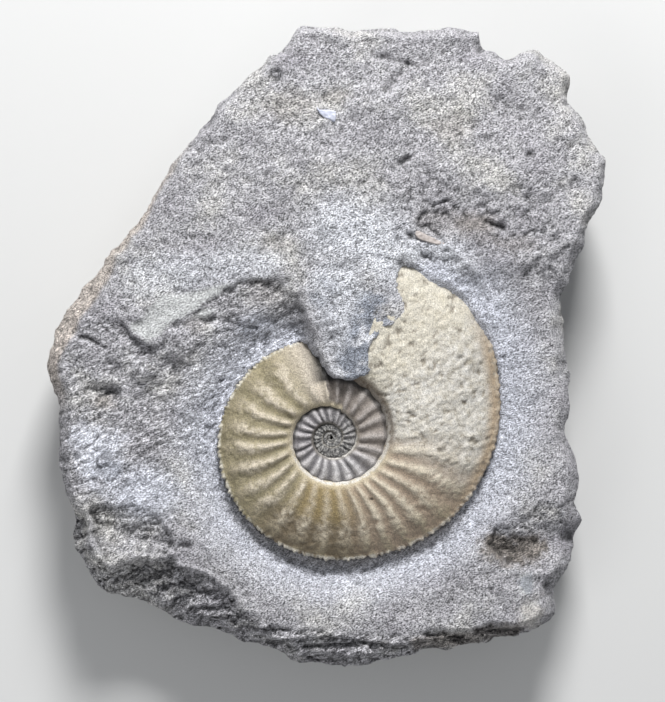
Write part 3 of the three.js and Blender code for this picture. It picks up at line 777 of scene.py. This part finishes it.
# The first layer of the last whorl is broken off at its start, along a ragged line.
past_start = angle - mix(89, 103, u) + 3 * grain
dents = dents - 0.9 * (1 - ease(past_start, -0.5, 1.0)) * ease(angle, 40, 80)
blemish = np.zeros(len(coil))
for at_x, at_y, radius in BLEMISHES:
    away = np.hypot(coil[:, 0] - at_x, (coil[:, 1] - at_y) * 1.8) / radius
    blemish = np.maximum(blemish, 1 - ease(away + 0.5 * grain, 0.3, 1))
dents = dents - 0.5 * blemish
coil[:, 2] += np.sign(coil[:, 2]) * dents * ease(u, 0, 0.1)
crumbled = 1 + 0.5 * grain * ease(u, 0.95, 1) / np.maximum(reach, 5)
coil[:, :2] = COIL_CENTRE + (coil[:, :2] - COIL_CENTRE) * crumbled[:, None]
coil[:, 2] += COIL_PLANE
move_points(shell, coil)
print("shell is", np.round(np.ptp(coil, axis=0), 1), "mm")

# %% Where each stain, painted shade and painted light of the shell lies
upper = 0.5 + 0.5 * np.sin(np.radians(angle - 15))  # 1 where the next whorl's wall keeps the light off
inner = 1 - ease(past_start, -1, 1)
amber = ease(angle, 225, 255) * (1 - ease(angle, 285, 305)) * (1 - ease(u, 0.45, 0.75))
patchy = 1 + 0.9 * grain + 0.5 * lumps
# Painted shade where a whorl runs in under the next one. It is wider on the upper side, where the next
# whorl's wall keeps the light off, and a dark line runs along the seam.
crevice = (1 - ease(angle, 95, 115)) * (1 - ease(under_next / (0.3 + upper * reach * 0.09), 0, 1))
crevice = (crevice + 0.7 * (1 - ease(u, 0.0, 0.008))).clip(0, 1)
SHELL_MASKS = {
    "rib": np.clip(wave * (1 - 0.55 * amber) * patchy + 0.25 * grain * mottled, 0, 1),
    "rosy": ease(angle, 272, 300) * (1 - ease(angle, 362, 380)),
    "worn": worn,
    "inner": inner,
    "middle": ease(-angle, 200, 420),
    "crevice": (0.35 + 0.65 * upper) * crevice,
    "rim": (1 - ease(u, 0.03, 0.13)) * np.where(angle < LAST_TURN, 0.15, 1 - ease(angle, 335, 360)),
    "seam": (1 - ease(u, 0.035, 0.06)) * ease(grain, -0.5, 0) * (1 - upper) * ease(angle, -160, -60),
    # The body whorl's inner wall is painted dark brown: partly its own colour, partly painted shade where the
    # wall faces away from the lamp.
    "wall": ease(angle, 340, 370) * (1 - ease(u, 0.04, 0.1)),
    "beige": 0.6 * inner * ease(angle, -50, -10),
    # Painted light: on the lower side of the inner whorls, which faces the lamp, the crests are painted
    # paler.
    "dusty": 0.6 * inner * (0.2 + 0.8 * wave) * ease(-upper, -0.4, 0) * ease(angle, -420, -250),
    "sunny": 0.55 * ease(angle + 8 * lumps, 392, 410),
    "outer": ease(u, 0.55, 0.95),
    "edge": 0.65 * ease(u, 0.945, 0.97) * ease(grain, -0.4, 0.3) * (1 - 0.7 * worn),
    "margin": ease(u, 0.84, 0.95) * ease(angle, 315, 345) * (1 - ease(angle, 385, 405)),
    "amber": amber,
    # Darker and browner on the outer part of the lower flank: partly a brown stain, partly painted shade on
    # the side that faces away from the lamp.
    "umber": ease(angle, 215, 245) * (1 - ease(angle, 318, 345)) * ease(u, 0.4, 0.65),
    "start": 1 - ease(angle, 104, 130),
    "pits": worn * pits,
    "blemish": 0.8 * blemish,
}
for name, values in SHELL_MASKS.items():
    set_values(shell, name, values)
print(len(SHELL_MASKS), "numbers for each point of the shell")

# %% Close the shell
SAME_PLACE = 0.0005  # only the two sides of the seam lie this close; more would join the tight inner whorls
make_active(shell)
bpy.ops.object.mode_set(mode="EDIT")
bpy.ops.mesh.select_all(action="SELECT")
bpy.ops.mesh.remove_doubles(threshold=SAME_PLACE * MM)
bpy.ops.mesh.select_all(action="DESELECT")
bpy.ops.mesh.select_mode(type="EDGE")
bpy.ops.mesh.select_non_manifold(extend=False)
bpy.ops.mesh.edge_face_add()
bpy.ops.mesh.select_all(action="SELECT")
bpy.ops.mesh.normals_make_consistent(inside=False)
bpy.ops.object.mode_set(mode="OBJECT")
bpy.ops.object.shade_smooth()
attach(shell, "root")
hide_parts("ammonite")
print("shell has", triangles_in(shell), "triangles")

# %% [markdown]
# ## Materials
# Colours are given as they look on a screen, and one function turns them to the linear values that the
# shader needs. One more adds a node with its settings and its links. Patterns read Object coordinates,
# so that they are as deep as the rock and have no seam, and the numbers kept above say where they lie.

# %% Material helpers
def colour(hex_value):
    parts = [int(hex_value[i:i + 2], 16) / 255 for i in (1, 3, 5)]
    return tuple(p / 12.92 if p <= 0.04045 else ((p + 0.055) / 1.055) ** 2.4 for p in parts) + (1.0,)


def new_material(name):
    material = bpy.data.materials.new(name)
    material.use_nodes = True
    return material, material.node_tree, material.node_tree.nodes["Principled BSDF"]


def add_node(tree, kind, inputs=None, stops=(), output=0, **settings):
    """Adds a node with its settings and links, and gives one of its outputs.

    Inputs are numbers, colours or other nodes' outputs. Stops are the (position, colour) of a ramp.
    """
    node = tree.nodes.new(kind)
    for name, value in settings.items():
        setattr(node, name, value)
    for index, (position, value) in enumerate(stops):
        if index > 1:
            node.color_ramp.elements.new(1.0)
        node.color_ramp.elements[index].position = position
        node.color_ramp.elements[index].color = value
    for name, value in (inputs or {}).items():
        if isinstance(value, bpy.types.NodeSocket):
            tree.links.new(value, node.inputs[name])
        else:
            node.inputs[name].default_value = value
    return node.outputs[output]


def grey(value):
    return (value, value, value, 1.0)


print("material helpers ready")

# %% [markdown]
# ## Finish of the slab: limestone, broken and scraped
# Fine grey limestone, split with a hammer and cleaned with a scraper round the shell. It has no gloss at
# all. A break shows grains and flakes, drawn with painted highlights on their tops and painted shade in
# the gaps under them; scraped rock is paler and bluer with its own dust; and an old joint on the left has
# a beige crust. Tints come first, some of them carrying painted shade and one a spot of painted light, then
# the grain multiplies them, painted shade darkens the hollows, and the same grain stands up as a bump.

# %% Limestone: tints
limestone, tree, shader = new_material("broken_grey_limestone")
place = add_node(tree, "ShaderNodeTexCoord", output="Object")

# The stone itself: grey, a little bluer here and browner there, in patches of a few centimetres.
patches = add_node(tree, "ShaderNodeTexNoise",
                   {"Vector": place, "Scale": 1 / (24 * MM), "Detail": 6.0, "Roughness": 0.6})
stone = add_node(tree, "ShaderNodeValToRGB", {"Fac": patches},
                 [(0.3, colour("#8C8A8F")), (0.5, colour("#9E9DA0")), (0.72, colour("#B3B1AC"))])
# Some tints carry painted shade as well as the stone's own colour: the darker bluish one on the left part of
# the tongue, and the grey-brown one under the keel and in the pocket. The pale tint round the shell holds a
# spot of painted light beside the tongue.
TINTS = [  # where, colour
    ("near_shell", "#B5B7C0"), ("on_tongue", "#BCBEC4"), ("smooth_facet", "#B0B1B1"),
    ("weathered", "#CBCDD6"), ("bluish", "#7D828C"), ("brownish", "#77716C"), ("crust", "#AFA59C"),
]
for name, tint in TINTS:
    mask = add_node(tree, "ShaderNodeAttribute", attribute_name=name)
    stone = add_node(tree, "ShaderNodeMixRGB", {"Fac": mask, "Color1": stone, "Color2": colour(tint)})
print(len(TINTS), "tints on the stone")

# %% Limestone: grain
# Grit: real grains are about 0.1 mm, too fine to show, so they are drawn at 0.3 mm. Their tops get a
# painted highlight and the gaps between them painted shade. Smooth facets have less of it.
turned = add_node(tree, "ShaderNodeMapping",
                  {"Vector": place, "Rotation": (0, 0, 0.5), "Scale": (2.2, 1, 1)}, vector_type="TEXTURE")
grit = add_node(tree, "ShaderNodeTexNoise",
                {"Vector": turned, "Scale": 1 / (0.3 * MM), "Detail": 1.5, "Roughness": 0.6,
                 "Distortion": 0.5})
grit_shade = add_node(tree, "ShaderNodeValToRGB", {"Fac": grit},
                      [(0.35, grey(0.1)), (0.49, grey(0.98)), (0.62, grey(1.92))])

# Flakes of a millimetre lie along the break, and a thin line of painted shade marks the gap where one
# ends. The painted gaps are darkest where the rock broke roughest.
flakes = add_node(tree, "ShaderNodeTexNoise",
                  {"Vector": turned, "Scale": 1 / (1.1 * MM), "Detail": 4.0, "Roughness": 0.75})
gap_shade = add_node(tree, "ShaderNodeValToRGB", {"Fac": flakes},
                [(0.45, grey(1.08)), (0.49, grey(0.58)), (0.53, grey(1.08))])
along_beds = add_node(tree, "ShaderNodeMapping",
                      {"Vector": place, "Rotation": (0, 0, 0.42), "Scale": (5, 1, 1)}, vector_type="TEXTURE")
beds_cut = add_node(tree, "ShaderNodeTexNoise",
                    {"Vector": along_beds, "Scale": 1 / (1.5 * MM), "Detail": 5.0, "Roughness": 0.7})
deep_gap_shade = add_node(tree, "ShaderNodeValToRGB", {"Fac": beds_cut},
                     [(0.42, grey(1.45)), (0.49, grey(0.2)), (0.55, grey(1.3))])
flaky = add_node(tree, "ShaderNodeAttribute", attribute_name="flaky")
gap_shade = add_node(tree, "ShaderNodeMixRGB", {"Fac": flaky, "Color1": gap_shade, "Color2": deep_gap_shade})
grit_shade = add_node(tree, "ShaderNodeMixRGB", {"Fac": 1.0, "Color1": grit_shade, "Color2": gap_shade},
                      blend_type="MULTIPLY")
smoothness = add_node(tree, "ShaderNodeAttribute", attribute_name="smoothness")
grit_shade = add_node(tree, "ShaderNodeMixRGB",
                      {"Fac": smoothness, "Color1": grit_shade, "Color2": grey(1.0)})
stone = add_node(tree, "ShaderNodeMixRGB", {"Fac": 1.0, "Color1": stone, "Color2": grit_shade},
                 blend_type="MULTIPLY")

# Painted shade darkens the hollows. The stone has no gloss.
hollows = add_node(tree, "ShaderNodeAttribute", attribute_name="hollow")
hollow_shade = add_node(tree, "ShaderNodeValToRGB", {"Fac": hollows}, [(0.0, grey(1.0)), (0.9, grey(0.4))])
stone = add_node(tree, "ShaderNodeMixRGB", {"Fac": 1.0, "Color1": stone, "Color2": hollow_shade},
                 blend_type="MULTIPLY")
tree.links.new(stone, shader.inputs["Base Color"])
shader.inputs["Roughness"].default_value = 0.92

# The same flakes and grit stand up from the surface.
bumpy = add_node(tree, "ShaderNodeBump", {"Height": flakes, "Distance": 0.7 * MM, "Strength": 1.0})
bumpy = add_node(tree, "ShaderNodeBump",
                 {"Height": grit, "Distance": 0.45 * MM, "Strength": 1.0, "Normal": bumpy})
tree.links.new(bumpy, shader.inputs["Normal"])
slab.data.materials.append(limestone)
print("limestone has", len(tree.nodes), "nodes")

# %% [markdown]
# ## Finish of the shell: calcite, brushed clean
# The shell has turned to calcite, and a stiff brush gave it a soft satin. It is olive brown where it is
# whole, with paler crests where the brush wore through the skin, cream and pitted where the outer layer
# is gone, and dark grey in the inner whorls, where the mud inside shows through. Painted shade darkens
# the seams between the whorls, the wall of the body whorl and part of the lower flank, and painted light
# pales the crests on the lit side of the inner whorls. Each stain and painted shade is laid over the last
# one with a mask that follows the coil, and a fine speckle goes over all of them.

# %% Fossil shell: the flank
calcite, tree, shader = new_material("calcite_shell_polished_by_cleaning")
place = add_node(tree, "ShaderNodeTexCoord", output="Object")
ribs = add_node(tree, "ShaderNodeAttribute", attribute_name="rib")

# Olive brown with amber, umber and rosy stains, and paler on the crests of the ribs.
clouds = add_node(tree, "ShaderNodeTexNoise",
                  {"Vector": place, "Scale": 1 / (8 * MM), "Detail": 5.0, "Roughness": 0.6})
skin = add_node(tree, "ShaderNodeValToRGB", {"Fac": clouds},
                [(0.35, colour("#706850")), (0.65, colour("#8B8267"))])
outer = add_node(tree, "ShaderNodeAttribute", attribute_name="outer")
crest = add_node(tree, "ShaderNodeMixRGB",
                 {"Fac": outer, "Color1": colour("#B6AC9A"), "Color2": colour("#90866F")})

# %% Fossil shell: the inner whorls and the body chamber
# The inner whorls: dark grey, with pale crests.
deep = add_node(tree, "ShaderNodeTexNoise", {"Vector": place, "Scale": 1 / (0.9 * MM), "Detail": 3.0})
deep = add_node(tree, "ShaderNodeValToRGB", {"Fac": deep},
                [(0.4, colour("#403F40")), (0.6, colour("#8D8B88"))])
dark = add_node(tree, "ShaderNodeMixRGB",
                {"Fac": ribs, "Color1": colour("#4E4B4E"), "Color2": colour("#AEAAAB")})
middle = add_node(tree, "ShaderNodeAttribute", attribute_name="middle")
dark = add_node(tree, "ShaderNodeMixRGB", {"Fac": middle, "Color1": dark, "Color2": deep})

# The worn body chamber: cream, stained in spots.
spots = add_node(tree, "ShaderNodeTexNoise",
                 {"Vector": place, "Scale": 1 / (3 * MM), "Detail": 8.0, "Roughness": 0.75})
cream = add_node(tree, "ShaderNodeValToRGB", {"Fac": spots},
                 [(0.3, colour("#8E8778")), (0.45, colour("#B0ABA1")), (0.62, colour("#C2BFB9"))])

# %% Fossil shell: coats, one over the other
# Some coats are painted light and shade: the crevice coat is painted shadow in the seams, the pale coat on
# the inner whorls' lower crests is painted light, and the umber coat and the wall coat are partly painted
# shade.
COATS = [  # where, colour
    ("amber", colour("#7A6A46")), ("umber", colour("#665A46")), ("rosy", colour("#897A69")), ("rib", crest),
    ("start", colour("#B9AFA0")), ("inner", dark), ("beige", colour("#857B70")), ("dusty", colour("#BCBABA")),
    ("worn", cream), ("sunny", colour("#BCB5A3")), ("margin", colour("#9A8973")), ("pits", colour("#857E72")),
    ("rim", colour("#B3A890")), ("wall", colour("#5E5244")), ("edge", colour("#D2CEC3")),
    ("seam", colour("#CBC7C0")), ("crevice", colour("#2A2826")), ("blemish", colour("#4A453C")),
]
for name, coat in COATS:
    mask = add_node(tree, "ShaderNodeAttribute", attribute_name=name)
    skin = add_node(tree, "ShaderNodeMixRGB", {"Fac": mask, "Color1": skin, "Color2": coat})

# Calcite grains of half a millimetre speckle the skin and leave fine pores in it.
speckle = add_node(tree, "ShaderNodeTexNoise",
                   {"Vector": place, "Scale": 1 / (0.45 * MM), "Detail": 3.0, "Roughness": 0.7})
speckle_shade = add_node(tree, "ShaderNodeValToRGB", {"Fac": speckle},
                         [(0.3, grey(0.5)), (0.5, grey(1.0)), (0.7, grey(1.5))])
skin = add_node(tree, "ShaderNodeMixRGB", {"Fac": 1.0, "Color1": skin, "Color2": speckle_shade},
                blend_type="MULTIPLY")
tree.links.new(skin, shader.inputs["Base Color"])
shader.inputs["Roughness"].default_value = 0.55
pores = add_node(tree, "ShaderNodeBump", {"Height": speckle, "Distance": 0.4 * MM, "Strength": 1.0})
tree.links.new(pores, shader.inputs["Normal"])
shell.data.materials.append(calcite)
print("calcite has", len(tree.nodes), "nodes and", len(COATS), "coats")

# %% [markdown]
# ## Two scraps of other shells
# The break laid open a bluish white flake near the top, and the thin edge of another shell beside the
# hollow on the right. Each is a few millimetres long: a drawn outline is extruded, its rim is
# bevelled, and it is remeshed finely and made uneven. It lies on the height of the rock under it. Both
# are thin layers of shell, so one function gives them their veins, each with its own tones and sheen.

# %% Scraps
FLAKE_CORNERS = [
    (-3.2, 76.6), (-2.1, 75.5), (0.4, 75.6), (3.0, 75.1), (3.2, 73.2), (2.9, 71.7), (1.6, 72.2),
    (-0.6, 73.2), (-1.9, 74.3),
]
SLIVER_CORNERS = [
    (28.4, 37.2), (28.2, 35.8), (29.6, 34.6), (32.4, 33.6), (35.4, 32.8), (38, 32.5), (37.2, 33.6),
    (34.4, 34.9), (31.4, 36.2), (29.6, 37.3),
]


def shape_scrap(name, corners, thickness, slope):
    """A thin uneven plate that lies on the rock and rises by slope towards +Y."""
    rock = points_of(slab)
    middle = np.mean(corners, axis=0)
    near = (np.hypot(rock[:, 0] - middle[0], rock[:, 1] - middle[1]) < 3) & (rock[:, 2] > COIL_PLANE)
    base = np.percentile(rock[near, 2], 60) - thickness * 0.5
    scrap = block_from(name, corners, base, thickness)
    apply_modifier(scrap, "BEVEL", width=0.25 * MM, segments=1)
    apply_modifier(scrap, "REMESH", mode="VOXEL", voxel_size=0.2 * MM)
    points = points_of(scrap)
    uneven = fractal(*points.T, 1.6, 3, 31)
    points[:, 2] += 0.25 * uneven + slope * (points[:, 1] - middle[1])
    points[:, :2] += 0.12 * uneven[:, None]
    move_points(scrap, points)
    make_active(scrap)
    bpy.ops.object.shade_smooth()
    print(name, "has", triangles_in(scrap), "triangles")
    return scrap


def veined_shell(name, vein_size, dark, pale, roughness):
    """The layers of a split shell end at its face as faint veins."""
    material, tree, shader = new_material(name)
    place = add_node(tree, "ShaderNodeTexCoord", output="Object")
    veins = add_node(tree, "ShaderNodeTexNoise",
                     {"Vector": place, "Scale": 1 / (vein_size * MM), "Detail": 4.0})
    tone = add_node(tree, "ShaderNodeValToRGB", {"Fac": veins}, [(0.35, colour(dark)), (0.6, colour(pale))])
    tree.links.new(tone, shader.inputs["Base Color"])
    shader.inputs["Roughness"].default_value = roughness
    return material


# Freshly split shell: chalky, bluish white, with a slight sheen.
flake = shape_scrap("white_flake", FLAKE_CORNERS, 1.6, 0.12)
flake.data.materials.append(veined_shell("bluish_white_shell_freshly_split", 1.2, "#A3A7B7", "#C2C5D2", 0.45))
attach(flake, "root")
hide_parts("shell_chip")

# The worn edge of a shell: dull, brownish pink.
sliver = shape_scrap("shell_edge", SLIVER_CORNERS, 1.8, -0.1)
sliver.data.materials.append(veined_shell("pinkish_shell_edge_worn", 1.0, "#8A827E", "#A39B97", 0.6))
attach(sliver, "root")
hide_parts("shell_sliver")
